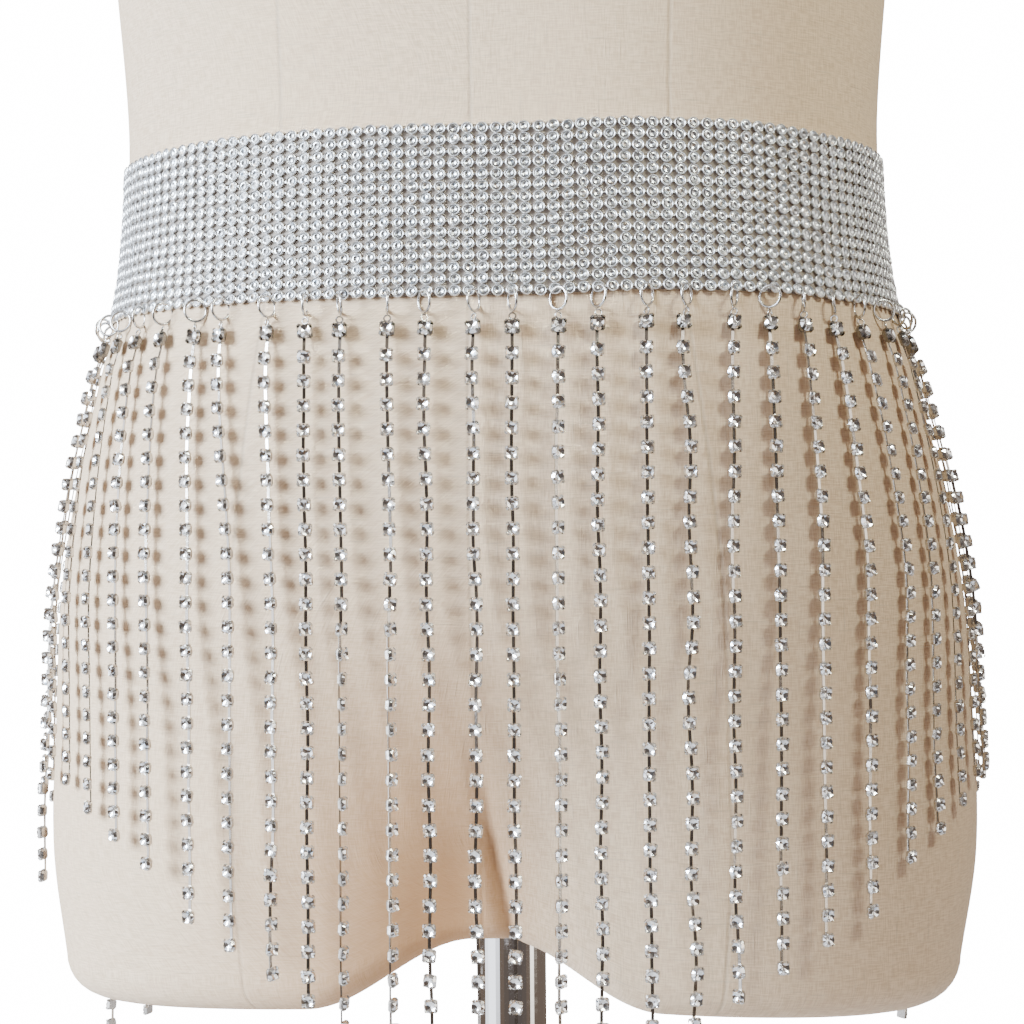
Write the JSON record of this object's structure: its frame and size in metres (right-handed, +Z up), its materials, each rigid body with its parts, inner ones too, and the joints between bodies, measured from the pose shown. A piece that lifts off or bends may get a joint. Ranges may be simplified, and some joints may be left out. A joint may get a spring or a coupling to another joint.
{
  "type": "rhinestone fringe belt on a limbless dress form",
  "caption": "Ring mesh band worn round the waist with a graded fringe of hanging cup chains, on a linen covered hip and torso form that stands on a pole and a round foot.",
  "frame": {"origin": "middle of the foot's underside, on the pole's axis", "axes": "+Z up along the pole, -Y towards the front of the form, +X towards the viewer's right from the front"},
  "size_m": [0.3459, 0.3, 1.0316],
  "materials": {
    "ring_mesh": "bright silver plated ring cups with small clear stones",
    "cup_chain": "bright silver plated claw cups with round clear stones",
    "clasp_metal": "bright silver plating",
    "linen": "cream linen weave, matt",
    "chrome": "polished chrome"
  },
  "bodies": {
    "root": {"belt_band": "ring_mesh", "fringe": "cup_chain", "clasp_tube": "clasp_metal", "clasp_bar": "clasp_metal", "form_body": "linen", "form_pole": "chrome", "form_base": "chrome"}
  },
  "joints": []
}
